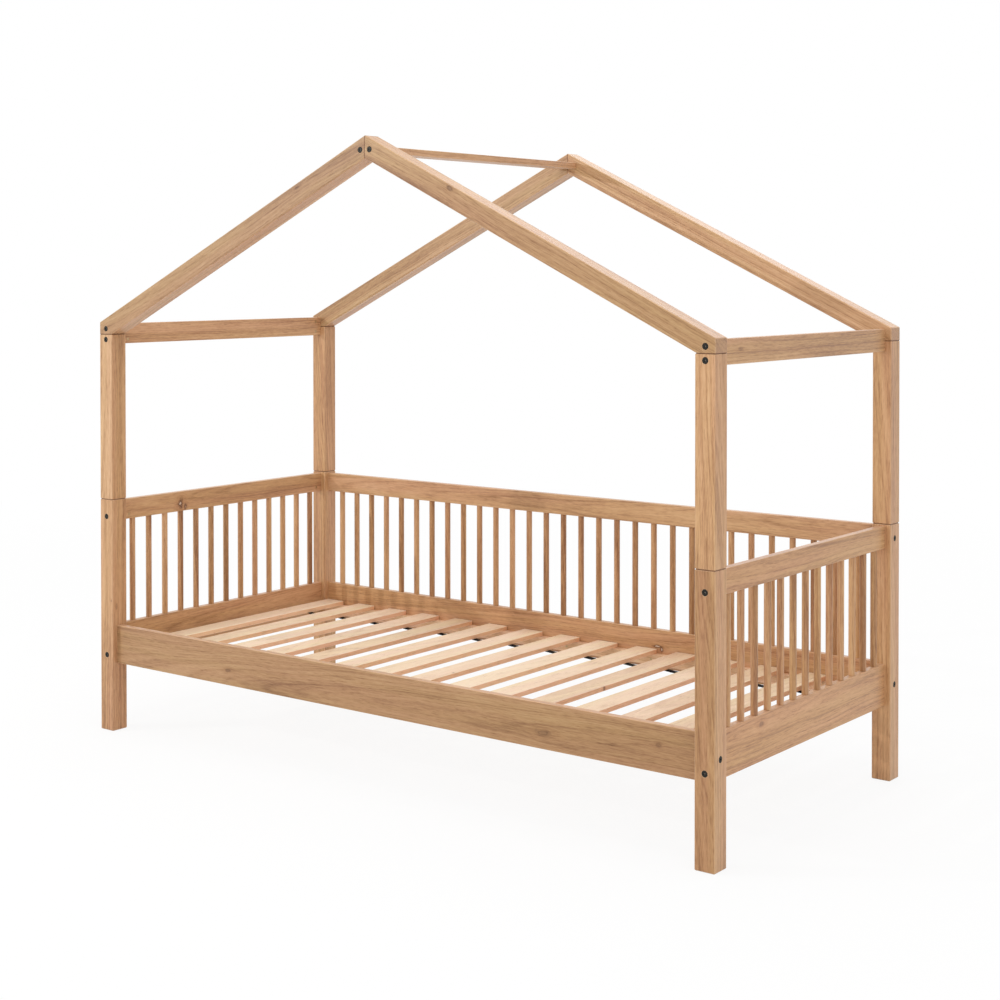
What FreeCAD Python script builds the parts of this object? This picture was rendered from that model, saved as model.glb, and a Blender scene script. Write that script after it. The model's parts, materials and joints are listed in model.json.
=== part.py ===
import FreeCAD, Part
import math
import os
from FreeCAD import Vector

# House frame bed for a 900 x 2000 mm mattress. Millimetres.
# Origin: on the floor, under the middle of the bed. +X runs along the bed,
# the open front faces -Y, +Z is up.

# ---- overall sizes
length = 2080.0                # over the posts, along X
width = 980.0                  # over the posts, along Y
lower_post_height = 684.0      # floor to the joint with the upper posts
eave_height = 1207.0           # floor to the outer top corner of a rafter
roof_rise = 503.0              # from that corner to the apex

# ---- posts and rafters
post_x = 53.0                  # post section along X
post_y = 54.7                  # post section along Y, also the rafters' depth
rafter_height = 53.0           # rafter section, square to its slope
seat_set_back = 3.5            # from a post's inner top edge to the rafter's heel
stock_round = 3.0              # eased long edges of posts and rafters
foot_ease = 2.0                # chamfer under the feet
split_ease = 2.5               # chamfers that make the groove between posts
seat_ease = 2.2                # chamfer round an upper post's top
mitre_groove = 0.7             # V-groove along the mitre at the apex

# ---- rails
rail_thickness = 20.0
rail_round = 2.0               # eased long edges of rails
bottom_rail_clear = 199.3      # floor to the underside of the bottom rails
bottom_rail_height = 112.0
top_rail_height = 60.0
top_rail_drop = 5.0            # below the joint between the posts

# ---- eave beams and ridge bar
beam_thickness = 18.0
beam_round = 2.0
eave_bolt_offset = 16.0        # bolts above and below the post's top
eave_margin_low = 13.0         # beam below its lower bolt
eave_margin_high = 15.0        # beam above its upper bolt
ridge_bar_width = 60.0
ridge_bolt_x = 16.0            # from the mitre

# ---- spindles
spindle_radius = 8.75
spindle_ease = 1.0             # rounded shoulders
tenon_radius = 6.0
tenon_length = 20.0
tenon_clearance = 0.1
mortise_end_gap = 1.0
back_spindle_count = 30
back_spindle_inset = 56.0      # first spindle's axis, from the post
end_spindle_count = 13
end_spindle_inset = 45.9

# ---- slats, ledgers and straps
slat_count = 15
slat_width = 70.0
slat_thickness = 13.0
slat_round = 1.5
slat_end_gap = 0.7             # outermost slat to the posts
slat_side_gap = 2.65           # slat ends to the side rails
ledger_width = 20.0
ledger_height = 32.0
ledger_base = 10.7             # ledger above the underside of the side rail
ledger_end_gap = 1.0
ledger_round = 1.0
strap_width = 20.0
strap_thickness = 1.5
strap_y = 292.0                # each strap's middle, from the bed's middle

# ---- staples under the slats
staple_length = 10.0
staple_wire = 1.0
staple_reach = 7.0             # legs into the slat
staple_clearance = 0.1

# ---- bolts and barrel nuts
bolt_radius = 3.0
bolt_clearance = 0.5
head_radius = 7.7
head_height = 5.0
head_round = 0.8
head_recess = 0.6              # head below the wood's surface
head_clearance = 0.3
bore_ease = 1.0                # chamfer round a counterbore's mouth
socket_flats = 5.0
socket_depth = 3.0
nut_radius = 5.0
nut_length = 14.0
nut_recess = 0.5
nut_clearance = 0.15
nut_thread_clearance = 0.1
nut_inset = 24.0               # from the rail's end to the nut's axis
nut_slot_width = 1.2
nut_slot_depth = 1.5
bolt_past_nut = 8.0
bore_end_gap = 1.0
end_bolt_low = 23.7            # end panels: bolt above the bottom rail's underside
end_bolt_high = 14.0           # end panels: bolt above the top rail's underside
side_bolt_low = 55.2           # side rails: bolt above the bottom rail's underside
side_bolt_step = 12.0          # back panel's top bolt above the end panel's

# ---- dowels and studs
dowel_radius = 4.0
dowel_clearance = 0.1
dowel_ease = 0.8
dowel_end_gap = 1.0
dowel_in_post = 16.0
dowel_in_rail = 24.0
end_dowel_low = 61.0           # dowels above their bolt
end_dowel_high = 20.0
side_dowel_low = 36.0
side_dowel_high = 22.0
stud_radius = 4.0
stud_below = 24.0
stud_above = 50.0
seat_dowel_half = 20.0         # into the post and into the rafter
seat_dowel_inset = 15.5        # from the post's axis towards the middle
mitre_dowel_half = 20.0
mitre_dowel_above = 13.0       # above the ridge bolts
mitre_dowel_spread = 13.0      # either side of the rafter's middle

# ---- ledger screws
screw_count = 7
screw_radius = 2.0
screw_head_radius = 4.0
screw_head_depth = 3.0
screw_length = 34.0
screw_clearance = 0.1
screw_end_inset = 95.0
screw_socket_flats = 2.5
screw_socket_depth = 1.4

# ---- places worked out from the sizes
half_length = length / 2
half_width = width / 2
post_axis_x = half_length - post_x / 2
post_axis_y = half_width - post_y / 2
inner_x = half_length - post_x
inner_y = half_width - post_y
slope = roof_rise / half_length
rafter_rise = rafter_height * math.sqrt(1 + slope * slope)
rafter_end_height = rafter_rise - slope * (post_x - seat_set_back)
post_top = eave_height - rafter_end_height
ridge_height = eave_height + roof_rise
bottom_rail_top = bottom_rail_clear + bottom_rail_height
top_rail_top = lower_post_height - top_rail_drop
top_rail_base = top_rail_top - top_rail_height
eave_bolt_low = post_top - eave_bolt_offset
eave_bolt_high = post_top + eave_bolt_offset
ridge_bolt_z = ridge_height - slope * ridge_bolt_x - rafter_rise / 2
end_bolt_low_z = bottom_rail_clear + end_bolt_low
end_bolt_high_z = top_rail_base + end_bolt_high
side_bolt_low_z = bottom_rail_clear + side_bolt_low
side_bolt_high_z = end_bolt_high_z + side_bolt_step
side_rail_face = post_axis_y - rail_thickness / 2
ledger_z = bottom_rail_clear + ledger_base
slat_base = ledger_z + ledger_height
slat_first = inner_x - slat_end_gap - slat_width / 2

X = Vector(1, 0, 0)
Y = Vector(0, 1, 0)
Z = Vector(0, 0, 1)
BEYOND = 1.0                   # how far a cutting tool stands out of a face
TINY = 1e-4

pieces = {}                    # node name: its solids
tools = {}                     # node name: what is cut out of it


def add(node, solid):
    pieces.setdefault(node, []).append(solid)


def cut(node, tool):
    tools.setdefault(node, []).append(tool)


def side(sx):
    return "left" if sx < 0 else "right"


def face(sy):
    return "front" if sy < 0 else "back"


def corner_node(kind, sx, sy):
    return f"{kind}_{face(sy)}_{side(sx)}"


def spread(first, count):
    """Evenly spaced places from -first to +first."""
    step = 2 * first / (count - 1)
    return [index * step - first for index in range(count)]


# ---------------------------------------------------------------- shaping

def box(low, high):
    size = high - low
    return Part.makeBox(size.x, size.y, size.z, low)


def rod(start, end, radius):
    return Part.makeCylinder(radius, (end - start).Length, start, end - start)


def stands_along(edge, axis):
    """True for a straight edge parallel to the axis."""
    ends = [vertex.Point for vertex in edge.Vertexes]
    if len(ends) < 2:
        return False
    run = ends[1] - ends[0]
    return run.Length > TINY and run.cross(axis).Length < TINY * run.Length


def edges_in_plane(solid, axis, place):
    """Edges that lie in the plane square to the axis at this place."""
    found = []
    for edge in solid.Edges:
        points = [vertex.Point for vertex in edge.Vertexes] + [edge.CenterOfMass]
        if edge.Length > TINY and all(abs(point.dot(axis) - place) < TINY for point in points):
            found.append(edge)
    return found


def round_long_edges(solid, axis, radius):
    return solid.makeFillet(radius, [edge for edge in solid.Edges if stands_along(edge, axis)])


def ease_end(solid, axis, place, size):
    return solid.makeChamfer(size, edges_in_plane(solid, axis, place))


def bar(low, high, axis, radius):
    """Rectangular bar with eased long edges."""
    return round_long_edges(box(low, high), axis, radius)


def placed(solid, point, direction):
    """A shape made along +Z from the origin, set along a direction."""
    turn = FreeCAD.Rotation(Z, direction)
    return solid.transformed(FreeCAD.Placement(point, turn).toMatrix())


def prism(sides, radius, height):
    """Regular prism on +Z, with a corner on +X."""
    turns = [2 * math.pi * index / sides for index in range(sides)] + [0]
    corners = [Vector(radius * math.cos(turn), radius * math.sin(turn), 0) for turn in turns]
    return Part.Face(Part.makePolygon(corners)).extrude(Z * height)


def hexagon(flats, height):
    return prism(6, flats / math.sqrt(3), height)


def groove(start, end, depth):
    """Tool that cuts a V along a line in a face."""
    return placed(prism(4, depth, (end - start).Length), start, end - start)


# ---------------------------------------------------------------- fasteners

def make_bolt(grip):
    """Socket-head bolt along +Z; the wood's surface is at 0."""
    seat = head_recess + head_height
    head = rod(Z * head_recess, Z * seat, head_radius)
    head = head.makeFillet(head_round, edges_in_plane(head, Z, head_recess)[:1])
    socket = placed(hexagon(socket_flats, socket_depth + BEYOND), Z * (head_recess - BEYOND), Z)
    return head.cut(socket).fuse(rod(Z * seat, Z * grip, bolt_radius)).removeSplitter()


def make_bolt_bore(grip):
    """Counterbore and clearance bore for that bolt."""
    seat = head_recess + head_height
    wide = head_radius + head_clearance
    mouth = Part.makeCone(wide + bore_ease + BEYOND, wide, bore_ease + BEYOND, Z * -BEYOND, Z)
    counterbore = rod(Z * -BEYOND, Z * seat, wide).fuse(mouth)
    return counterbore.fuse(rod(Z * 0, Z * (grip + bore_end_gap), bolt_radius + bolt_clearance))


def make_barrel_nut(centre, nut_axis, bolt_axis, half_thickness):
    """Round cross nut; its slotted end lies just under the rail's face."""
    mouth = centre - nut_axis * (half_thickness - nut_recess)
    nut = rod(mouth, mouth + nut_axis * nut_length, nut_radius)
    reach = bolt_axis * (nut_radius + BEYOND)
    nut = nut.cut(rod(centre - reach, centre + reach, bolt_radius + nut_thread_clearance))
    across = bolt_axis * nut_slot_width + nut_axis * (2 * nut_slot_depth)
    across = across + nut_axis.cross(bolt_axis) * (2 * (nut_radius + BEYOND))
    half = Vector(abs(across.x), abs(across.y), abs(across.z)) * 0.5
    return nut.cut(box(mouth - half, mouth + half))


def bolt_joint(group, point, inward, through, post, rail, nut_axis, half_thickness):
    """Bolt from a post's outer face into a barrel nut in the end of a rail."""
    grip = through + nut_inset + bolt_past_nut
    add(f"{group}_bolts", placed(make_bolt(grip), point, inward))
    bore = placed(make_bolt_bore(grip), point, inward)
    cut(post, bore)
    cut(rail, bore)
    centre = point + inward * (through + nut_inset)
    add(f"{group}_barrel_nuts", make_barrel_nut(centre, nut_axis, inward, half_thickness))
    mouth = centre - nut_axis * (half_thickness + BEYOND)
    depth = BEYOND + nut_recess + nut_length + nut_clearance
    cut(rail, rod(mouth, mouth + nut_axis * depth, nut_radius + nut_clearance))


def pin_joint(group, point, along, behind, ahead, radius, nodes):
    """Round pin across the joint face at a point, shared by two nodes."""
    pin = rod(Z * -behind, Z * ahead, radius)
    for end in (-behind, ahead):
        pin = ease_end(pin, Z, end, dowel_ease)
    add(group, placed(pin, point, along))
    hole = rod(Z * (-behind - dowel_end_gap), Z * (ahead + dowel_end_gap), radius + dowel_clearance)
    for node in nodes:
        cut(node, placed(hole, point, along))


# ---------------------------------------------------------------- posts

def make_post(sx, sy, base, top, base_ease, top_ease):
    centre = Vector(sx * post_axis_x, sy * post_axis_y, 0)
    half = Vector(post_x / 2, post_y / 2, 0)
    post = bar(centre - half + Z * base, centre + half + Z * top, Z, stock_round)
    post = ease_end(post, Z, base, base_ease)
    return ease_end(post, Z, top, top_ease)


def add_posts(sx, sy):
    lower = corner_node("lower_post", sx, sy)
    upper = corner_node("upper_post", sx, sy)
    add(lower, make_post(sx, sy, 0, lower_post_height, foot_ease, split_ease))
    add(upper, make_post(sx, sy, lower_post_height, post_top, split_ease, seat_ease))
    joint = Vector(sx * post_axis_x, sy * post_axis_y, lower_post_height)
    pin_joint("post_studs", joint, Z, stud_below, stud_above, stud_radius, (lower, upper))


# ---------------------------------------------------------------- roof

def make_rafter(sx, sy):
    """Level seat on the post, flush end, slope, and plumb mitre at the apex."""
    heel = half_length - post_x + seat_set_back
    outline = [(half_length, post_top), (half_length, eave_height), (0, ridge_height),
               (0, ridge_height - rafter_rise), (heel, post_top)]
    y = sy * post_axis_y - post_y / 2
    corners = [Vector(sx * x, y, z) for x, z in outline + outline[:1]]
    rafter = Part.Face(Part.makePolygon(corners)).extrude(Y * post_y)
    sloping = Vector(sx, 0, -slope)
    eased = [edge for edge in rafter.Edges
             if stands_along(edge, sloping)
             or (stands_along(edge, Z) and abs(abs(edge.CenterOfMass.x) - half_length) < TINY)
             or (stands_along(edge, Y) and abs(edge.CenterOfMass.z - eave_height) < TINY)]
    return rafter.makeFillet(stock_round, eased)


def add_rafter(sx, sy):
    rafter = corner_node("rafter", sx, sy)
    add(rafter, make_rafter(sx, sy))
    seat = Vector(sx * (post_axis_x - seat_dowel_inset), sy * post_axis_y, post_top)
    upper = corner_node("upper_post", sx, sy)
    pin_joint("rafter_seat_dowels", seat, Z, seat_dowel_half, seat_dowel_half, dowel_radius,
              (upper, rafter))


def add_apex(sy):
    """Two dowels in a gable's mitre, and the fine groove round its seam."""
    rafters = [corner_node("rafter", sx, sy) for sx in (-1, 1)]
    outer = Vector(0, sy * half_width, ridge_height)
    inner = Vector(0, sy * inner_y, ridge_height)
    drop = Z * -rafter_rise
    for start, end in ((outer, outer + drop), (inner, inner + drop), (outer, inner)):
        for rafter in rafters:
            cut(rafter, groove(start, end, mitre_groove))
    for offset in (-mitre_dowel_spread, mitre_dowel_spread):
        point = Vector(0, sy * post_axis_y + offset, ridge_bolt_z + mitre_dowel_above)
        pin_joint("apex_dowels", point, X, mitre_dowel_half, mitre_dowel_half, dowel_radius,
                  rafters)


def add_ridge_bar():
    """Flat bar between the gables, bolted through all four rafters."""
    half = beam_thickness / 2
    low = Vector(-ridge_bar_width / 2, -inner_y, ridge_bolt_z - half)
    high = Vector(ridge_bar_width / 2, inner_y, ridge_bolt_z + half)
    add("ridge_bar", bar(low, high, Y, beam_round))
    for sy in (-1, 1):
        for sx in (-1, 1):
            point = Vector(sx * ridge_bolt_x, sy * half_width, ridge_bolt_z)
            bolt_joint("ridge", point, Y * -sy, post_y, corner_node("rafter", sx, sy),
                       "ridge_bar", Z * -1, half)


def add_eave_beam(sx):
    """Beam between the gables on a short side, bolted to both posts and rafters."""
    beam = f"eave_beam_{side(sx)}"
    half = beam_thickness / 2
    low = Vector(sx * post_axis_x - half, -inner_y, eave_bolt_low - eave_margin_low)
    high = Vector(sx * post_axis_x + half, inner_y, eave_bolt_high + eave_margin_high)
    add(beam, bar(low, high, Y, beam_round))
    for sy in (-1, 1):
        for kind, z in (("upper_post", eave_bolt_low), ("rafter", eave_bolt_high)):
            point = Vector(sx * post_axis_x, sy * half_width, z)
            bolt_joint("eave", point, Y * -sy, post_y, corner_node(kind, sx, sy), beam,
                       X * sx, half)


# ---------------------------------------------------------------- rails

def add_end_rail(sx, name, base, height, bolt_z, dowel_rise):
    """Rail along Y between a front and a back post."""
    rail = f"{side(sx)}_panel_{name}"
    half = rail_thickness / 2
    low = Vector(sx * post_axis_x - half, -inner_y, base)
    high = Vector(sx * post_axis_x + half, inner_y, base + height)
    add(rail, bar(low, high, Y, rail_round))
    for sy in (-1, 1):
        post = corner_node("lower_post", sx, sy)
        outer = Vector(sx * post_axis_x, sy * half_width, bolt_z)
        bolt_joint("panel", outer, Y * -sy, post_y, post, rail, X * sx, half)
        joint = Vector(sx * post_axis_x, sy * inner_y, bolt_z + dowel_rise)
        pin_joint("rail_dowels", joint, Y * -sy, dowel_in_post, dowel_in_rail, dowel_radius,
                  (post, rail))


def add_side_rail(rail, sy, base, height, bolt_z, dowel_rise, nut_axis):
    """Rail along X between a left and a right post."""
    half = rail_thickness / 2
    low = Vector(-inner_x, sy * post_axis_y - half, base)
    high = Vector(inner_x, sy * post_axis_y + half, base + height)
    add(rail, bar(low, high, X, rail_round))
    for sx in (-1, 1):
        post = corner_node("lower_post", sx, sy)
        outer = Vector(sx * half_length, sy * post_axis_y, bolt_z)
        bolt_joint("panel", outer, X * -sx, post_x, post, rail, nut_axis, half)
        joint = Vector(sx * inner_x, sy * post_axis_y, bolt_z + dowel_rise)
        pin_joint("rail_dowels", joint, X * -sx, dowel_in_post, dowel_in_rail, dowel_radius,
                  (post, rail))


# ---------------------------------------------------------------- spindles

def make_spindle(foot):
    """Round spindle between the rails, with a tenon on each end."""
    head = Vector(foot.x, foot.y, top_rail_base)
    body = rod(foot, head, spindle_radius)
    for end in (foot.z, head.z):
        body = body.makeFillet(spindle_ease, edges_in_plane(body, Z, end)[:1])
    tenons = rod(foot - Z * tenon_length, head + Z * tenon_length, tenon_radius)
    return body.fuse(tenons).removeSplitter()


def add_spindle(panel, foot):
    add(f"{panel}_panel_spindles", make_spindle(foot))
    reach = tenon_length + mortise_end_gap
    ends = (("bottom_rail", foot.z, -reach, BEYOND), ("top_rail", top_rail_base, -BEYOND, reach))
    for name, z, below, above in ends:
        start = Vector(foot.x, foot.y, z + below)
        end = Vector(foot.x, foot.y, z + above)
        cut(f"{panel}_panel_{name}", rod(start, end, tenon_radius + tenon_clearance))


# ---------------------------------------------------------------- slats

def make_slat(x):
    low = Vector(x - slat_width / 2, slat_side_gap - side_rail_face, slat_base)
    high = Vector(x + slat_width / 2, side_rail_face - slat_side_gap, slat_base + slat_thickness)
    return bar(low, high, Y, slat_round)


def make_staple(x, y, spare):
    """Staple through a strap into a slat, larger all round by the spare."""
    thick = Vector(0.5, 0.5, 0) * staple_wire + Vector(spare, spare, 0)
    base = slat_base - strap_thickness
    shape = box(Vector(x - staple_length / 2, y, base - staple_wire) - thick,
                Vector(x + staple_length / 2, y, base) + thick)
    for end in (-staple_length / 2, staple_length / 2):
        leg = box(Vector(x + end, y, base - staple_wire) - thick,
                  Vector(x + end, y, slat_base + staple_reach + spare) + thick)
        shape = shape.fuse(leg)
    return shape.removeSplitter()


def add_slats():
    for number, x in enumerate(spread(slat_first, slat_count), start=1):
        slat = f"slat_{number:02d}"
        add(slat, make_slat(x))
        for sy in (-1, 1):
            add("strap_staples", make_staple(x, sy * strap_y, 0))
            hole = make_staple(x, sy * strap_y, staple_clearance)
            cut(slat, hole)
            cut(f"slat_strap_{face(sy)}", hole)


def add_strap(sy):
    """Webbing under all the slats, which keeps them at their pitch."""
    half_run = slat_first + slat_width / 2
    low = Vector(-half_run, sy * strap_y - strap_width / 2, slat_base - strap_thickness)
    high = Vector(half_run, sy * strap_y + strap_width / 2, slat_base)
    add(f"slat_strap_{face(sy)}", box(low, high))


def make_screw():
    """Countersunk screw along +Z from the ledger's face at 0."""
    head = Part.makeCone(screw_head_radius, screw_radius, screw_head_depth)
    shank = rod(Z * screw_head_depth, Z * screw_length, screw_radius)
    socket = placed(hexagon(screw_socket_flats, screw_socket_depth + BEYOND), Z * -BEYOND, Z)
    return head.cut(socket).fuse(shank).removeSplitter()


def make_screw_hole():
    wide = screw_clearance
    head = Part.makeCone(screw_head_radius + wide, screw_radius + wide, screw_head_depth)
    return head.fuse(rod(Z * 0, Z * (screw_length + wide), screw_radius + wide))


def add_ledger(sy, rail):
    """Strip screwed to a side rail; the slats' ends lie on it."""
    ledger = f"slat_ledger_{face(sy)}"
    reach = inner_x - ledger_end_gap
    near = side_rail_face - ledger_width
    faces = sorted((sy * near, sy * side_rail_face))
    low = Vector(-reach, faces[0], ledger_z)
    high = Vector(reach, faces[1], ledger_z + ledger_height)
    add(ledger, bar(low, high, X, ledger_round))
    for x in spread(inner_x - screw_end_inset, screw_count):
        point = Vector(x, sy * near, ledger_z + ledger_height / 2)
        add("ledger_screws", placed(make_screw(), point, Y * sy))
        for node in (ledger, rail):
            cut(node, placed(make_screw_hole(), point, Y * sy))


# ---------------------------------------------------------------- the bed

for sx in (-1, 1):
    for sy in (-1, 1):
        add_posts(sx, sy)
        add_rafter(sx, sy)
    add_eave_beam(sx)
    add_end_rail(sx, "bottom_rail", bottom_rail_clear, bottom_rail_height, end_bolt_low_z,
                 end_dowel_low)
    add_end_rail(sx, "top_rail", top_rail_base, top_rail_height, end_bolt_high_z,
                 end_dowel_high)
    for y in spread(inner_y - end_spindle_inset, end_spindle_count):
        add_spindle(side(sx), Vector(sx * post_axis_x, y, bottom_rail_top))

add_ridge_bar()
for sy in (-1, 1):
    add_apex(sy)

add_side_rail("front_side_rail", -1, bottom_rail_clear, bottom_rail_height, side_bolt_low_z,
              side_dowel_low, Y * -1)
add_side_rail("back_panel_bottom_rail", 1, bottom_rail_clear, bottom_rail_height,
              side_bolt_low_z, side_dowel_low, Y * -1)
add_side_rail("back_panel_top_rail", 1, top_rail_base, top_rail_height, side_bolt_high_z,
              side_dowel_high, Y * -1)
for x in spread(inner_x - back_spindle_inset, back_spindle_count):
    add_spindle("back", Vector(x, post_axis_y, bottom_rail_top))

add_slats()
for sy, rail in ((-1, "front_side_rail"), (1, "back_panel_bottom_rail")):
    add_strap(sy)
    add_ledger(sy, rail)

os.makedirs("parts", exist_ok=True)
for node, solids in pieces.items():
    if node in tools:
        solids = [solid.cut(tools[node]) for solid in solids]
    solids = [solid for shape in solids for solid in shape.Solids]
    shape = solids[0] if len(solids) == 1 else Part.makeCompound(solids)
    shape.exportStep(f"parts/{node}.step")
    print(f"{node}: {len(solids)} solid(s), {shape.Volume / 1000:.1f} cm3, valid {shape.isValid()}")
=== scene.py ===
import json
import math
import bpy
from mathutils import Matrix, Vector


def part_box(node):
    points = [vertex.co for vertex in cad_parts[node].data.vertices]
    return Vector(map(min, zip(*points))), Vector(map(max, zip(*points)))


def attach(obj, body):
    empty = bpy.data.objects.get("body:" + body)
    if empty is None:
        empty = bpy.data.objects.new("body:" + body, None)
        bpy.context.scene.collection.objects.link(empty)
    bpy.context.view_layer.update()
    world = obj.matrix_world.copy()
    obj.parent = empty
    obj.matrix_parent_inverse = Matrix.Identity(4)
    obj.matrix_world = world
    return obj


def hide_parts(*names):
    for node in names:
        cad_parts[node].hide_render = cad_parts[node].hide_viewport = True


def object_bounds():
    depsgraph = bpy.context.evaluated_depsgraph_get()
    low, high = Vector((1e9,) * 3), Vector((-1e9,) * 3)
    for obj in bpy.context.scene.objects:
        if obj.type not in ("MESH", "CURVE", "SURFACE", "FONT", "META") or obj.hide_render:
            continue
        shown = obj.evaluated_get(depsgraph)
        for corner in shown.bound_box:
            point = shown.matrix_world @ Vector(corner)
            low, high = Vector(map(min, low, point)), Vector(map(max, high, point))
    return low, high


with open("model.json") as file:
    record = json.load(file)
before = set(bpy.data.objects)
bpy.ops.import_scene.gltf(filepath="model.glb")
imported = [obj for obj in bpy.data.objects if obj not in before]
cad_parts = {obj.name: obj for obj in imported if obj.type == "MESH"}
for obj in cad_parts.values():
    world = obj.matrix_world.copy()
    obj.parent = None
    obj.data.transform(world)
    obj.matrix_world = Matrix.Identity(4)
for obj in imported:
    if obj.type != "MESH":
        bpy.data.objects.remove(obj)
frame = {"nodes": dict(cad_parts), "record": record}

cad_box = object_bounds()
nodes = frame["nodes"]


# ==== Lower and upper posts ====
# Four square posts of solid oak, each in two lengths that meet in a V-groove. They are planed,
# their long edges are rounded by 3 mm, and they carry a thin coat of matt lacquer.

ALONG_X = (0.0, 0.0, 0.0)                # turns that bring a piece's grain onto X
ALONG_Y = (0.0, 0.0, math.radians(-90))
ALONG_Z = (0.0, math.radians(90), 0.0)
OAK = {"deep": (0.32, 0.15, 0.065), "body": (0.535, 0.297, 0.147), "pale": (0.655, 0.4, 0.22)}
RING_WIDTH = 0.0045                      # one year's growth
KNOT_RINGS = 17.0                        # a knot's fine rings, in radians to its own reach
END_GRAIN_TINT = (0.72, 0.66, 0.62)
PORE_TINT = (0.5, 0.38, 0.28)
SEAM_TINT = (0.42, 0.3, 0.24)
EDGE_WEAR_AND_HIGHLIGHT_LIFT = (1.04, 1.12, 1.2)          # rounded edges, against the palest wood: rubbed wear with a painted highlight


def place_node(tree, kind, values, **settings):
    """Adds a node, sets it up, and fills its inputs with numbers or with links."""
    made = tree.nodes.new(kind)
    for setting, value in settings.items():
        setattr(made, setting, value)
    for socket, value in values.items():
        if isinstance(value, bpy.types.NodeSocket):
            tree.links.new(value, made.inputs[socket])
        else:
            made.inputs[socket].default_value = value
    return made


def sums(tree, operation, first, second=0.0, third=0.0):
    """One step of arithmetic on numbers."""
    values = {0: first, 1: second, 2: third}
    return place_node(tree, "ShaderNodeMath", values, operation=operation).outputs[0]


def weighed(tree, *terms):
    """Adds up numbers, each times its weight and measured from its own middle."""
    total = 0.0
    for value, middle, weight in terms:
        total = sums(tree, "MULTIPLY_ADD", sums(tree, "SUBTRACT", value, middle), weight, total)
    return total


def vector_sums(tree, operation, first, second=(0.0, 0.0, 0.0)):
    """One step of arithmetic on vectors."""
    values = {0: first, 3 if operation == "SCALE" else 1: second}
    made = place_node(tree, "ShaderNodeVectorMath", values, operation=operation)
    return made.outputs["Value" if operation == "LENGTH" else "Vector"]


def axis_part(tree, vector, axis):
    """One of a vector's three parts."""
    return place_node(tree, "ShaderNodeSeparateXYZ", {0: vector}).outputs[axis]


def fade(tree, value, start, end, low=0.0, high=1.0):
    """A smooth step from low to high as value goes from start to end."""
    values = {"Value": value, "From Min": start, "From Max": end, "To Min": low, "To Max": high}
    return place_node(tree, "ShaderNodeMapRange", values, interpolation_type="SMOOTHSTEP").outputs[0]


def turned(tree, vector, turn):
    """The vector, turned so that the grain runs along X."""
    values = {"Vector": vector, "Rotation": turn}
    return place_node(tree, "ShaderNodeMapping", values, vector_type="VECTOR").outputs[0]


def grain_noise(tree, where, across, along, detail=2.0, roughness=0.5):
    """Noise drawn out along the grain: so many streaks to the metre across it and along it."""
    stretch = {"Vector": where, "Scale": (along / across, 1.0, 1.0)}
    drawn = place_node(tree, "ShaderNodeMapping", stretch).outputs[0]
    values = {"Vector": drawn, "Scale": across, "Detail": detail, "Roughness": roughness}
    return place_node(tree, "ShaderNodeTexNoise", values).outputs


def wander(tree, where, across, along, reach):
    """A vector that wanders either way by about a quarter of reach."""
    noise = grain_noise(tree, where, across, along)["Color"]
    return vector_sums(tree, "SCALE", vector_sums(tree, "SUBTRACT", noise, (0.5, 0.5, 0.5)), reach)


def blend_colour(tree, how, amount, first, second):
    """Mixes two colours."""
    mix = place_node(tree, "ShaderNodeMix", {0: amount}, data_type="RGBA", blend_type=how)
    for socket, value in ((6, first), (7, second)):
        if isinstance(value, bpy.types.NodeSocket):
            tree.links.new(value, mix.inputs[socket])
        else:
            mix.inputs[socket].default_value = (*value, 1.0)
    return mix.outputs[2]


def colour_scale(tree, value, *stops):
    """A colour that follows a number through the stops, each a place and a colour."""
    ramp = place_node(tree, "ShaderNodeValToRGB", {0: value})
    marks = ramp.color_ramp.elements
    while len(marks) < len(stops):
        marks.new(0.5)
    for mark, (at, colour) in zip(marks, stops):
        mark.position = at
        mark.color = (*colour, 1.0)
    return ramp.outputs[0]


def new_finish(name):
    """A new material, with its node tree and its surface."""
    finish = bpy.data.materials.new(name)
    finish.use_nodes = True
    return finish, finish.node_tree, finish.node_tree.nodes["Principled BSDF"]


def finish_node(name, finish):
    """Gives a CAD node its finish."""
    for slot in nodes[name].material_slots:
        slot.material = finish


def middle_of(name):
    """The middle of a CAD node."""
    low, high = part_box(name)
    return (low + high) / 2


def knot_marks(tree, place, texture_place, turn, knots):
    """Each knot is (centre, reach along the grain, reach across it, strength). Returns its dark
    core with fine rings, its pale torn eye, the browner wood round it, and how far it pushes the
    grain aside. Lengths from the centre count in the knot's own reach."""
    core, eye, halo, push = 0.0, 0.0, 0.0, (0.0, 0.0, 0.0)
    for centre, reach_along, reach_across, strength in knots:
        away = turned(tree, vector_sums(tree, "SUBTRACT", place, centre), turn)
        ragged = wander(tree, texture_place, across=70.0, along=50.0, reach=reach_across)
        away = vector_sums(tree, "ADD", away, ragged)
        away = vector_sums(tree, "DIVIDE", away, (reach_along, reach_across, reach_across))
        length = vector_sums(tree, "LENGTH", away)
        near = sums(tree, "MULTIPLY", fade(tree, length, 0.4, 2.6, 1.0, 0.0), strength)
        swing = sums(tree, "SINE", sums(tree, "MULTIPLY", length, KNOT_RINGS))
        fine_rings = sums(tree, "MULTIPLY_ADD", swing, 0.2, 0.8)
        heartwood = sums(tree, "MULTIPLY", fade(tree, length, 0.5, 1.05, 1.0, 0.0), strength)
        core = sums(tree, "MAXIMUM", sums(tree, "MULTIPLY", heartwood, fine_rings), core)
        torn = sums(tree, "MULTIPLY", fade(tree, length, 0.2, 0.42, 1.0, 0.0), strength ** 8)
        eye = sums(tree, "MAXIMUM", torn, eye)
        halo = sums(tree, "MAXIMUM", near, halo)
        shove = vector_sums(tree, "SCALE", away, sums(tree, "MULTIPLY", near, -0.45 * reach_across))
        push = vector_sums(tree, "ADD", shove, push)
    return core, eye, halo, push


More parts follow.
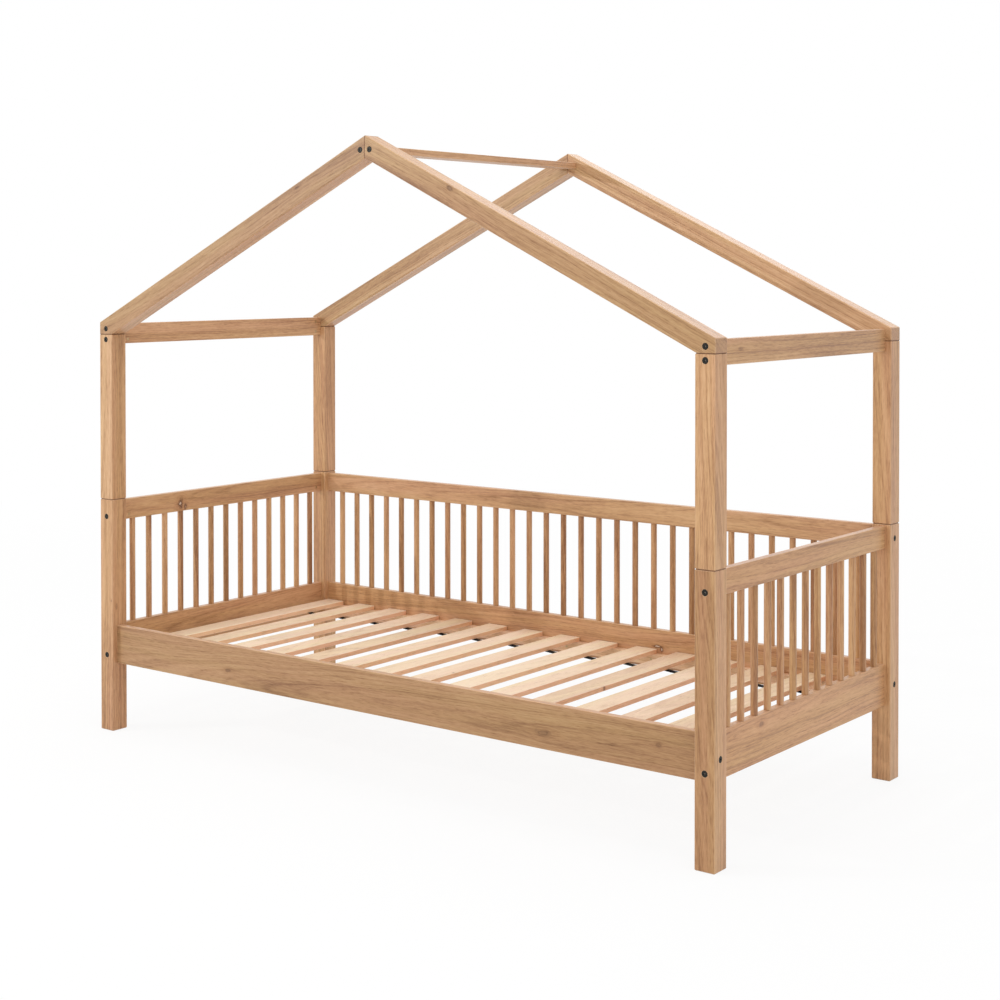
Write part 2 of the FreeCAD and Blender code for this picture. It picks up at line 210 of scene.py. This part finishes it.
def chance_of_piece(tree, place, seed, row):
    """For a row of like pieces: the place measured from its own piece, and chance numbers that
    differ from piece to piece."""
    axis, first, step = row
    apart = axis_part(tree, place, axis)
    number = sums(tree, "ROUND", sums(tree, "DIVIDE", sums(tree, "SUBTRACT", apart, first), step))
    which = sums(tree, "ADD", number, seed)
    chance = place_node(tree, "ShaderNodeTexWhiteNoise", {"W": which}, noise_dimensions="1D").outputs
    centre = sums(tree, "MULTIPLY_ADD", number, -step, -first)
    back = place_node(tree, "ShaderNodeCombineXYZ", {axis: centre}).outputs[0]
    return vector_sums(tree, "ADD", place, back), chance


def growth_rings(tree, from_heart, patches):
    """Rings round the tree's heart, a little out of line with the board, so that they meet its
    faces in long uneven arches. Returns each year's tone, and the line of its late wood."""
    out_of_line = {"Vector": from_heart, "Rotation": (0.0, 0.02, 0.03)}
    tilted = place_node(tree, "ShaderNodeMapping", out_of_line).outputs[0]
    radius = vector_sums(tree, "LENGTH", vector_sums(tree, "MULTIPLY", tilted, (0.0, 1.0, 1.0)))
    even_count = sums(tree, "DIVIDE", radius, RING_WIDTH)
    ring_count = sums(tree, "MULTIPLY_ADD", patches, 1.6, even_count)
    years = {"W": ring_count, "Scale": 0.42, "Detail": 3.0, "Roughness": 0.6}
    year_tone = place_node(tree, "ShaderNodeTexNoise", years, noise_dimensions="1D").outputs[0]
    swing = sums(tree, "SINE", sums(tree, "MULTIPLY", ring_count, math.tau))
    ring_line = sums(tree, "POWER", sums(tree, "MULTIPLY_ADD", swing, 0.5, 0.5), 3.0)
    return year_tone, ring_line


def knotty(tree, colour, core, eye, halo):
    """Colours the knots: browner wood, a dark core and a torn eye."""
    brown = sums(tree, "MULTIPLY", halo, 0.55)
    colour = blend_colour(tree, "MULTIPLY", brown, colour, (0.74, 0.6, 0.5))
    colour = blend_colour(tree, "MULTIPLY", core, colour, (0.3, 0.22, 0.18))
    return blend_colour(tree, "MIX", eye, colour, (0.6, 0.47, 0.36))


def seamed(tree, colour, place, seams):
    """Darkens a thin line at each seam."""
    for axis, at in seams:
        gap = sums(tree, "ABSOLUTE", sums(tree, "SUBTRACT", axis_part(tree, place, axis), at))
        shadow_line = fade(tree, gap, 0.0006, 0.002, 0.9, 0.0)
        colour = blend_colour(tree, "MULTIPLY", shadow_line, colour, SEAM_TINT)
    return colour


def wood(name, turn, seed, tones, middle=(0.0, 0.0, 0.0), heart=(0.05, 0.04), figure=1.0, knots=(),
         row=None, seams=(), rough=0.42, painted_side_light=(1.0, 1.0, 1.0), round_section=False):
    """A wood finish. turn lays the grain along the piece, seed gives the board a figure of its own,
    middle is the piece's middle, and heart is how far beside it the tree's middle lay. figure is
    the strength of the grain and rough the dullness. row is (axis, first place, step) where one
    finish serves a row of like pieces, and a seam is (axis, place), where two pieces meet in a dark
    line. The side tint is painted light and shade on the faces across the board; a round section has no
    edges."""
    finish, tree, surface = new_finish(name)
    coordinates = place_node(tree, "ShaderNodeTexCoord", {}).outputs
    place = coordinates["Object"]
    if row:
        local, chance = chance_of_piece(tree, place, seed, row)
        own_tone = chance["Value"]
        own_place = vector_sums(tree, "SCALE", chance["Color"], 7.0)
    else:
        local = vector_sums(tree, "SUBTRACT", place, tuple(middle))
        own_tone = 0.5
        own_place = (seed * 0.731, seed * 0.253, seed * 0.417)
    board = turned(tree, local, turn)
    texture_place = vector_sums(tree, "ADD", board, own_place)

    # The grain wanders slowly, and parts round knots.
    core, eye, halo, push = knot_marks(tree, place, texture_place, turn, knots)
    slow = wander(tree, texture_place, across=5.0, along=0.9, reach=0.05)
    quick = wander(tree, texture_place, across=24.0, along=3.5, reach=0.006)
    drift = vector_sums(tree, "ADD", vector_sums(tree, "ADD", slow, quick), push)
    streak_place = vector_sums(tree, "ADD", texture_place, drift)
    drifted = vector_sums(tree, "ADD", board, drift)
    from_heart = vector_sums(tree, "ADD", drifted, (0.0, -heart[0], -heart[1]))
    if row:
        aside = vector_sums(tree, "SCALE", chance["Color"], 0.03)
        from_heart = vector_sums(tree, "ADD", from_heart, aside)
    patches = grain_noise(tree, texture_place, across=16.0, along=1.6, detail=2.0)[0]
    year_tone, ring_line = growth_rings(tree, from_heart, patches)
    streaks = grain_noise(tree, streak_place, across=210.0, along=7.0, detail=4.0, roughness=0.7)[0]
    flecks = grain_noise(tree, streak_place, across=420.0, along=45.0, detail=2.0, roughness=0.6)[0]
    tint = grain_noise(tree, streak_place, across=30.0, along=1.1, detail=1.0)[0]
    pits = grain_noise(tree, streak_place, across=800.0, along=32.0, detail=1.0)[0]
    pores = fade(tree, pits, 0.56, 0.68)
    pore_belt = sums(tree, "MULTIPLY", pores, sums(tree, "MULTIPLY_ADD", ring_line, 0.7, 0.3))

    # All of it goes into one tone between the deep and the pale wood.
    mellow = weighed(tree, (year_tone, 0.5, 1.15 * figure), (ring_line, 0.3, -0.12 * figure),
                     (streaks, 0.5, 1.1 * figure), (flecks, 0.5, 0.75 * figure),
                     (patches, 0.5, 0.75 * figure), (own_tone, 0.5, 0.6), (0.5, 0.0, 1.0))
    stops = ((0.05, tones["deep"]), (0.5, tones["body"]), (0.95, tones["pale"]))
    colour = colour_scale(tree, mellow, *stops)
    warmth = colour_scale(tree, tint, (0.35, (1.0, 1.01, 0.92)), (0.65, (1.0, 0.95, 0.95)))
    colour = blend_colour(tree, "MULTIPLY", 1.0, colour, warmth)
    pore_depth = sums(tree, "MULTIPLY", pore_belt, 0.6)
    colour = blend_colour(tree, "MULTIPLY", pore_depth, colour, PORE_TINT)
    if knots:
        colour = knotty(tree, colour, core, eye, halo)

    # End grain is darker, and joints are dark lines.
    facing = turned(tree, coordinates["Normal"], turn)
    parts = place_node(tree, "ShaderNodeSeparateXYZ", {0: facing}).outputs
    along, sideways, upwards = (sums(tree, "ABSOLUTE", part) for part in parts)
    colour = blend_colour(tree, "MULTIPLY", fade(tree, along, 0.5, 0.85), colour, END_GRAIN_TINT)
    # The faces across the board get the piece's painted tint of light and shade.
    colour = blend_colour(tree, "MULTIPLY", fade(tree, sideways, 0.5, 0.8), colour, painted_side_light)
    # Rounded edges are painted a little paler, as rubbed wear with a painted highlight.
    if not round_section:
        squareness = sums(tree, "MAXIMUM", along, sums(tree, "MAXIMUM", sideways, upwards))
        between = fade(tree, squareness, 0.76, 0.97, 1.0, 0.0)
        wear_and_highlight = sums(tree, "MULTIPLY", between, fade(tree, streaks, 0.3, 0.6, 0.25, 0.6))
        edge = tuple(lift * part for lift, part in zip(EDGE_WEAR_AND_HIGHLIGHT_LIFT, tones["pale"]))
        colour = blend_colour(tree, "MIX", wear_and_highlight, colour, edge)
    colour = seamed(tree, colour, place, seams)
    tree.links.new(colour, surface.inputs["Base Color"])

    # Streaks and pores are felt as well as seen, under the thin lacquer.
    height = weighed(tree, (streaks, 0.5, 0.5), (pore_belt, 0.0, -0.9), (core, 0.0, -0.4))
    bump_values = {"Height": height, "Strength": 0.22, "Distance": 0.0005}
    bump = place_node(tree, "ShaderNodeBump", bump_values).outputs[0]
    tree.links.new(bump, surface.inputs["Normal"])
    dullness = weighed(tree, (pore_belt, 0.0, 0.25), (streaks, 0.5, 0.15), (rough, 0.0, 1.0))
    tree.links.new(dullness, surface.inputs["Roughness"])
    surface.inputs["Coat Weight"].default_value = 0.28
    surface.inputs["Coat Roughness"].default_value = 0.3
    surface.inputs["Specular IOR Level"].default_value = 0.25
    surface.inputs["Sheen Weight"].default_value = 0.12
    surface.inputs["Sheen Roughness"].default_value = 0.5
    return finish


def finish_in_oak(name, turn, seed, tones=OAK, **look):
    """Gives a CAD node a board of oak of its own."""
    finish_node(name, wood(f"{name}_oak", turn, seed, tones, middle_of(name), **look))


POST_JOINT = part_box("lower_post_front_left")[1].z
POST_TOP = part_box("upper_post_front_left")[1].z
POST_HEARTS = {"front_left": (0.05, 0.045), "front_right": (0.06, -0.035),
               "back_left": (-0.045, 0.06), "back_right": (-0.03, 0.07)}
# A side tint is painted light and shade on a post's front and back faces.
POST_LOOKS = {
    "lower_post_front_left": {"knots": [((-0.993, -0.49, 0.385), 0.003, 0.002, 1.0),
                                        ((-0.987, -0.474, 0.367), 0.012, 0.005, 0.5)]},
    "lower_post_front_right": {"painted_side_light": (0.86, 0.83, 0.78)},
    "upper_post_front_left": {"painted_side_light": (1.1, 1.2, 1.23)},
    "upper_post_front_right": {"painted_side_light": (1.1, 1.12, 1.15)},
}
for number, (corner, post_heart) in enumerate(POST_HEARTS.items()):
    low, high = f"lower_post_{corner}", f"upper_post_{corner}"
    finish_in_oak(low, ALONG_Z, 1.3 + number, heart=post_heart, seams=[(2, POST_JOINT)],
                  **POST_LOOKS.get(low, {}))
    finish_in_oak(high, ALONG_Z, 7.7 + number, heart=post_heart[::-1],
                  seams=[(2, POST_JOINT), (2, POST_TOP)], **POST_LOOKS.get(high, {}))


# ==== Rafters ====
# Two oak rafters to each gable, mitred at the apex and seated on the upper posts. Their long
# edges are rounded, and their grain runs up the slope.

ROOF_RISE, ROOF_RUN = 0.503, 1.04        # from the eave's outer corner to the apex
ROOF_SLOPE = math.atan2(ROOF_RISE, ROOF_RUN)
APEX_X = 0.0
# A side tint is painted light and shade on a rafter's front and back faces.
RAFTER_LOOKS = {
    "front_left": {"painted_side_light": (0.78, 0.81, 0.77),
                   "knots": [((-0.24, -0.49, 1.58), 0.012, 0.005, 0.6)]},
    "front_right": {"painted_side_light": (0.86, 0.89, 0.87),
                    "knots": [((0.282, -0.49, 1.565), 0.014, 0.008, 0.75)]},
    "back_left": {"painted_side_light": (0.82, 0.87, 0.86)},
    "back_right": {"painted_side_light": (0.96, 1.01, 1.02)},
}
for number, (corner, look) in enumerate(RAFTER_LOOKS.items()):
    uphill = -ROOF_SLOPE if "right" in corner else ROOF_SLOPE
    heart = (0.06, 0.03 + 0.02 * number)
    finish_in_oak(f"rafter_{corner}", (0.0, uphill, 0.0), 13.1 + number, heart=heart,
                  seams=[(2, POST_TOP), (0, APEX_X)], **look)


# ==== Ridge bar and eave beams ====
# A flat oak bar bolted between the gables under the apex, and two oak beams on edge that tie the
# posts across each end at the eaves.

# A side tint is painted light and shade on a beam's outer and inner faces.
BEAM_LOOKS = {
    "eave_beam_right": {"painted_side_light": (0.95, 0.93, 0.88),
                        "knots": [((1.0225, -0.343, 1.178), 0.014, 0.006, 0.5),
                                  ((1.0225, 0.1, 1.135), 0.1, 0.025, 0.3)]},
}
for number, beam in enumerate(("ridge_bar", "eave_beam_left", "eave_beam_right")):
    finish_in_oak(beam, ALONG_Y, 21.4 + number, heart=(0.015, 0.05), figure=1.1,
                  **BEAM_LOOKS.get(beam, {}))


# ==== Rails of the sides, the back and the ends ====
# Oak boards 20 mm thick, bolted between the posts on edge. The bottom ones are wide and the top
# ones narrow, and those of the panels are drilled for the spindles. They show a few knots.

RAIL_GRAIN = {"front": ALONG_X, "back": ALONG_X, "left": ALONG_Y, "right": ALONG_Y}
# A side tint is painted light and shade on a rail's broad faces.
RAIL_LOOKS = {
    "front_side_rail": {"painted_side_light": (0.78, 0.79, 0.73),
                        "knots": [((-0.523, -0.4726, 0.242), 0.014, 0.007, 0.6),
                                  ((0.555, -0.4726, 0.24), 0.03, 0.01, 0.6),
                                  ((0.882, -0.4726, 0.263), 0.01, 0.007, 0.5)]},
    "back_panel_bottom_rail": {"knots": [((0.308, 0.4526, 0.262), 0.024, 0.006, 1.0),
                                         ((0.322, 0.4526, 0.255), 0.009, 0.012, 1.0)]},
    "back_panel_top_rail": {"painted_side_light": (1.04, 1.09, 1.17)},
    "left_panel_bottom_rail": {},
    "left_panel_top_rail": {"knots": [((-1.0035, -0.203, 0.643), 0.014, 0.021, 1.0),
                                      ((-1.0035, -0.183, 0.631), 0.008, 0.013, 0.85)]},
    "right_panel_bottom_rail": {"painted_side_light": (1.03, 0.99, 0.9),
                                "knots": [((1.0235, -0.242, 0.288), 0.016, 0.008, 0.7)]},
    "right_panel_top_rail": {"painted_side_light": (0.98, 0.94, 0.87)},
}
for number, (rail, look) in enumerate(RAIL_LOOKS.items()):
    grain = RAIL_GRAIN[rail.split("_")[0]]
    heart = (0.04, 0.012 * number - 0.03)
    finish_in_oak(rail, grain, 31.9 + number, heart=heart, figure=0.9, **look)


# ==== Spindles ====
# Turned oak rods, glued by their tenons into the rails. They come from many boards, so each
# has a tone of its own.

SPINDLE_OAK = {"deep": (0.29, 0.135, 0.058), "body": (0.49, 0.265, 0.128), "pale": (0.63, 0.385, 0.2)}
SPINDLE_RADIUS = 0.00875
SPINDLES = {"back": (0, 30), "left": (1, 13), "right": (1, 13)}    # axis of each row, and how many
for number, (panel, (axis, count)) in enumerate(SPINDLES.items()):
    spindles = f"{panel}_panel_spindles"
    low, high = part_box(spindles)
    first, last = low[axis] + SPINDLE_RADIUS, high[axis] - SPINDLE_RADIUS
    row = (axis, first, (last - first) / (count - 1))
    finish_node(spindles, wood(f"{spindles}_oak", ALONG_Z, 41.5 + number, SPINDLE_OAK, row=row,
                               round_section=True))


# ==== Ledgers and slats ====
# Oak ledgers are screwed inside the side rails. Fifteen loose slats of pale, planed softwood lie
# on them.

SLAT_COUNT = 15
SLAT_WOOD = {"deep": (0.66, 0.46, 0.29), "body": (0.82, 0.63, 0.44), "pale": (0.88, 0.71, 0.53)}
# The slats' side tint is painted shade: their sides darker and warmer than their tops.
SLAT_SIDE_PAINTED_SHADE = (1.0, 0.77, 0.66)
LEDGER_OAK = {"deep": (0.55, 0.32, 0.19), "body": (0.76, 0.48, 0.3), "pale": (0.84, 0.59, 0.4)}
SLAT_KNOTS = [((0.028, -0.154, 0.255), 0.007, 0.003, 0.8), ((0.447, -0.034, 0.25), 0.006, 0.011, 0.9)]
first_slat_x = middle_of("slat_01").x
slat_pitch = middle_of("slat_02").x - first_slat_x
slat_wood = wood("slat_softwood", ALONG_Y, 51.2, SLAT_WOOD, heart=(0.03, 0.06), figure=0.7, rough=0.5,
                 knots=SLAT_KNOTS, row=(0, first_slat_x, slat_pitch), painted_side_light=SLAT_SIDE_PAINTED_SHADE)
for number in range(1, SLAT_COUNT + 1):
    finish_node(f"slat_{number:02d}", slat_wood)
for number, side in enumerate(("front", "back")):
    finish_in_oak(f"slat_ledger_{side}", ALONG_X, 55.0 + number, tones=LEDGER_OAK)


# ==== Webbing straps and their staples ====
# Two black polypropylene webbing straps hold the slats apart as one roll. They are stapled under
# every slat, and hang slack by a little between slats.

STRAP_SAG = 0.004
STRAP_STEPS = 16.0             # lengths of strap from one slat to the next
WEAVE_PITCH = 0.0016           # one thread of the webbing
BANDS_PER_UNIT = 20.0          # phase of the wave texture's bands, in radians to the unit
STRAP_INPUTS = {"Geometry": "Geometry", "Start": "Vector", "Pitch": "Float", "Bays": "Int", "Sag": "Float",
                "Width": "Float", "Thickness": "Float", "End": "Float", "Material": "Material"}


def strap_tree():
    """Geometry nodes for a strap: a line that sags between fixed points, with a flat section."""
    tree = bpy.data.node_groups.new("sagging_strap", "GeometryNodeTree")
    for label, kind in STRAP_INPUTS.items():
        tree.interface.new_socket(label, in_out="INPUT", socket_type=f"NodeSocket{kind}")
    tree.interface.new_socket("Geometry", in_out="OUTPUT", socket_type="NodeSocketGeometry")
    given = tree.nodes.new("NodeGroupInput").outputs
    steps = sums(tree, "MULTIPLY", given["Bays"], STRAP_STEPS)
    span = sums(tree, "MULTIPLY", given["Bays"], given["Pitch"])
    whole = sums(tree, "MULTIPLY_ADD", given["End"], 2.0, span)
    step = sums(tree, "DIVIDE", whole, steps)
    step_along = place_node(tree, "ShaderNodeCombineXYZ", {0: step}).outputs[0]
    points = sums(tree, "ADD", steps, 1.0)
    line_values = {"Count": points, "Start Location": given["Start"], "Offset": step_along}
    line = place_node(tree, "GeometryNodeMeshLine", line_values).outputs[0]
    position = place_node(tree, "GeometryNodeInputPosition", {}).outputs[0]
    along = axis_part(tree, vector_sums(tree, "SUBTRACT", position, given["Start"]), 0)
    bay = sums(tree, "DIVIDE", sums(tree, "SUBTRACT", along, given["End"]), given["Pitch"])
    wave = sums(tree, "COSINE", sums(tree, "MULTIPLY", bay, math.tau))
    dip = sums(tree, "MULTIPLY_ADD", wave, 0.5, -0.5)
    past_first = sums(tree, "GREATER_THAN", bay, 0.0)
    before_last = sums(tree, "LESS_THAN", bay, given["Bays"])
    inside = sums(tree, "MULTIPLY", past_first, before_last)
    fall = sums(tree, "MULTIPLY", sums(tree, "MULTIPLY", dip, given["Sag"]), inside)
    offset = place_node(tree, "ShaderNodeCombineXYZ", {2: fall}).outputs[0]
    hang_values = {"Geometry": line, "Offset": offset}
    hung = place_node(tree, "GeometryNodeSetPosition", hang_values).outputs[0]
    curve = place_node(tree, "GeometryNodeMeshToCurve", {0: hung}).outputs[0]
    flat_values = {"Width": given["Width"], "Height": given["Thickness"]}
    flat = place_node(tree, "GeometryNodeCurvePrimitiveQuadrilateral", flat_values, mode="RECTANGLE")
    band_values = {"Curve": curve, "Profile Curve": flat.outputs[0], "Fill Caps": True}
    band = place_node(tree, "GeometryNodeCurveToMesh", band_values).outputs[0]
    real = place_node(tree, "GeometryNodeRealizeInstances", {0: band}).outputs[0]
    dress_values = {"Geometry": real, "Material": given["Material"]}
    dressed = place_node(tree, "GeometryNodeSetMaterial", dress_values).outputs[0]
    place_node(tree, "NodeGroupOutput", {0: dressed})
    return tree


def grow(name, tree, sizes):
    """Runs a node tree once, with its inputs set by name, and keeps the result as a plain mesh."""
    seedling = bpy.data.objects.new(name, bpy.data.meshes.new(name))
    bpy.context.scene.collection.objects.link(seedling)
    growth = seedling.modifiers.new(name, "NODES")
    growth.node_group = tree
    for item in tree.interface.items_tree:
        if item.in_out == "INPUT" and item.name in sizes:
            growth[item.identifier] = sizes[item.name]
    evaluated = seedling.evaluated_get(bpy.context.evaluated_depsgraph_get())
    mesh = bpy.data.meshes.new_from_object(evaluated)
    bpy.data.objects.remove(seedling)
    grown = bpy.data.objects.new(name, mesh)
    bpy.context.scene.collection.objects.link(grown)
    return grown


def woven(name):
    """Black webbing: threads both ways, seen in the colour and in the bump."""
    finish, tree, surface = new_finish(name)
    place = place_node(tree, "ShaderNodeTexCoord", {}).outputs["Object"]
    waves = {"Vector": place, "Scale": math.tau / (BANDS_PER_UNIT * WEAVE_PITCH)}
    ribs = [place_node(tree, "ShaderNodeTexWave", waves, bands_direction=direction).outputs["Fac"]
            for direction in ("X", "Y")]
    weave = sums(tree, "MULTIPLY", ribs[0], ribs[1])
    colour = blend_colour(tree, "MIX", weave, (0.003, 0.003, 0.0035), (0.012, 0.012, 0.013))
    tree.links.new(colour, surface.inputs["Base Color"])
    bump_values = {"Height": weave, "Strength": 0.8, "Distance": 0.0004}
    bump = place_node(tree, "ShaderNodeBump", bump_values).outputs[0]
    tree.links.new(bump, surface.inputs["Normal"])
    surface.inputs["Roughness"].default_value = 0.8
    surface.inputs["Specular IOR Level"].default_value = 0.15
    return finish


webbing = woven("black_webbing")
strap_nodes = strap_tree()
for side in ("front", "back"):
    low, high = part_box(f"slat_strap_{side}")
    middle = (low + high) / 2
    strap = grow(f"webbing_strap_{side}", strap_nodes, {
        "Start": (low.x, middle.y, middle.z), "Pitch": slat_pitch, "Bays": SLAT_COUNT - 1,
        "Sag": STRAP_SAG, "Width": high.y - low.y, "Thickness": high.z - low.z,
        "End": first_slat_x - low.x, "Material": webbing})
    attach(strap, "root")
    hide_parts(f"slat_strap_{side}")


# ==== Bolts, barrel nuts, screws, studs and staples ====
# Blackened steel hexagon-socket bolts in counterbores, zinc-plated barrel nuts, wood screws,
# studs and staples.

SOCKET_FLOOR_DEPTH = 0.0036    # below the faces of the posts
SOCKET_FLOOR_HIGHLIGHT = (0.34, 0.31, 0.27)


def steel(name, colour, rough, metal, shine, highlight_places=()):
    """A plated steel finish with fine scratches and an uneven sheen. The floors of sockets get a
    painted highlight in paler steel: each highlight place is (axis, how far from the object's middle)."""
    finish, tree, surface = new_finish(name)
    place = place_node(tree, "ShaderNodeTexCoord", {}).outputs["Object"]
    cloud = grain_noise(tree, place, across=260.0, along=260.0, detail=3.0)[0]
    scratch = grain_noise(tree, place, across=2200.0, along=160.0, detail=1.0)[0]
    light = tuple(min(1.0, part * 1.5) for part in colour)
    plated = blend_colour(tree, "MIX", cloud, colour, light)
    for axis, reach in highlight_places:
        out = sums(tree, "ABSOLUTE", axis_part(tree, place, axis))
        gap = sums(tree, "ABSOLUTE", sums(tree, "SUBTRACT", out, reach))
        socket_highlight = fade(tree, gap, 0.0003, 0.0005, 1.0, 0.0)
        plated = blend_colour(tree, "MIX", socket_highlight, plated, SOCKET_FLOOR_HIGHLIGHT)
    tree.links.new(plated, surface.inputs["Base Color"])
    dullness = fade(tree, cloud, 0.3, 0.7, rough - 0.08, rough + 0.1)
    tree.links.new(dullness, surface.inputs["Roughness"])
    bump = place_node(tree, "ShaderNodeBump", {"Height": scratch, "Strength": 0.2, "Distance": 0.0001})
    tree.links.new(bump.outputs[0], surface.inputs["Normal"])
    surface.inputs["Metallic"].default_value = metal
    surface.inputs["Specular IOR Level"].default_value = shine
    return finish


def finish_slot(slot_name, finish):
    """Gives a finish to every CAD node of one material."""
    for part in frame["record"]["subparts"]:
        if part["material_slot"] == slot_name:
            finish_node(part["node"], finish)


# The floors of the bolts' sockets get a painted highlight.
socket_floors = [(axis, cad_box[1][axis] - SOCKET_FLOOR_DEPTH) for axis in (0, 1)]
black_oxide = steel("black_oxide_steel", (0.011, 0.01, 0.007), rough=0.45, metal=0.0, shine=0.25,
                    highlight_places=socket_floors)
zinc_plate = steel("zinc_plated_steel", (0.46, 0.33, 0.19), rough=0.5, metal=1.0, shine=0.5)
finish_slot("black_steel", black_oxide)
finish_slot("zinc_steel", zinc_plate)


# ==== Dowels ====
# Plain beech dowels with chamfered ends, in holes beside the rail bolts, under the rafters' seats
# and in the mitres at the apex. None of them shows.

dowel_beech = wood("dowel_beech", ALONG_Y, 61.0, SLAT_WOOD, round_section=True)
finish_slot("dowel_wood", dowel_beech)


# ==== Floor, lights and camera ====
# A plain white studio floor that still takes a soft shadow, an even white surround, one small
# lamp from the front left with three soft ones, and a camera where the photograph's was.

FLOOR_REACH = 30.0
FLOOR_PAINT = (0.86, 0.86, 0.86, 1.0)
WHITE = (1.0, 1.0, 1.0, 1.0)
SURROUND = 0.8                 # the light of the white surround on the bed


def seen_in_picture(tree):
    """1 where the camera sees a thing, directly, in a reflection or through glass, and else 0."""
    path = place_node(tree, "ShaderNodeLightPath", {}).outputs
    indirect = sums(tree, "MAXIMUM", path["Is Glossy Ray"], path["Is Transmission Ray"])
    return sums(tree, "MAXIMUM", path["Is Camera Ray"], indirect)


def lamp(name, at, towards, power, size):
    """A square lamp, aimed at a point."""
    light = bpy.data.lights.new(name, "AREA")
    light.energy = power
    light.size = size
    lit = bpy.data.objects.new(name, light)
    lit.location = at
    lit.rotation_euler = (Vector(at) - Vector(towards)).to_track_quat("Z", "Y").to_euler()
    bpy.context.scene.collection.objects.link(lit)


floor_mesh = bpy.data.meshes.new("studio_floor")
floor_corners = [(x * FLOOR_REACH, y * FLOOR_REACH, 0.0) for x, y in ((-1, -1), (1, -1), (1, 1), (-1, 1))]
floor_mesh.from_pydata(floor_corners, [], [(0, 1, 2, 3)])
floor = bpy.data.objects.new("studio_floor", floor_mesh)
bpy.context.scene.collection.objects.link(floor)
floor_white, tree, surface = new_finish("studio_floor_white")
tree.nodes.remove(surface)
seen = seen_in_picture(tree)
place = place_node(tree, "ShaderNodeTexCoord", {}).outputs["Object"]
far = fade(tree, vector_sums(tree, "LENGTH", place), 1.5, 6.0, 0.88, 1.0)
paint = place_node(tree, "ShaderNodeBsdfDiffuse", {"Color": FLOOR_PAINT}).outputs[0]
white = place_node(tree, "ShaderNodeEmission", {"Color": WHITE, "Strength": 1.0}).outputs[0]
mix_values = {0: sums(tree, "MULTIPLY", seen, far), 1: paint, 2: white}
mixed = place_node(tree, "ShaderNodeMixShader", mix_values).outputs[0]
tree.links.new(mixed, tree.nodes["Material Output"].inputs["Surface"])
floor_mesh.materials.append(floor_white)

world = bpy.data.worlds.new("studio")
bpy.context.scene.world = world
world.use_nodes = True
tree = world.node_tree
background = tree.nodes["Background"]
brightness = fade(tree, seen_in_picture(tree), 0.0, 1.0, SURROUND, 1.0)
tree.links.new(brightness, background.inputs["Strength"])
background.inputs["Color"].default_value = WHITE

lamp("key_front_left", at=(-4.5, -4.23, 2.85), towards=(-0.6, 0.0, 0.65), power=100.0, size=0.13)
lamp("soft_overhead", at=(0.3, -0.6, 5.0), towards=(0.0, 0.0, 0.8), power=72.0, size=3.6)
lamp("soft_behind", at=(-0.7, 3.8, 3.5), towards=(0.0, 0.0, 0.9), power=21.0, size=2.4)
lamp("soft_right", at=(3.8, -2.0, 1.5), towards=(0.9, 0.0, 0.7), power=13.0, size=2.0)

CAMERA_TURN, CAMERA_TIP, CAMERA_ROLL = 0.66542, -0.01565, -0.00065    # radians
camera_data = bpy.data.cameras.new("photograph")
camera_data.lens = 63.88
camera_data.sensor_width = 36.0
camera_data.shift_x = 0.04198
camera_data.shift_y = -0.2011
camera = bpy.data.objects.new("photograph", camera_data)
camera.location = (3.0363, -3.9657, 1.3574)
looking = Matrix.Rotation(CAMERA_TURN, 3, "Z") @ Matrix.Rotation(math.pi / 2 + CAMERA_TIP, 3, "X")
camera.rotation_euler = (looking @ Matrix.Rotation(CAMERA_ROLL, 3, "Z")).to_euler()
bpy.context.scene.collection.objects.link(camera)
bpy.context.scene.camera = camera
bpy.context.scene.view_settings.view_transform = "Standard"
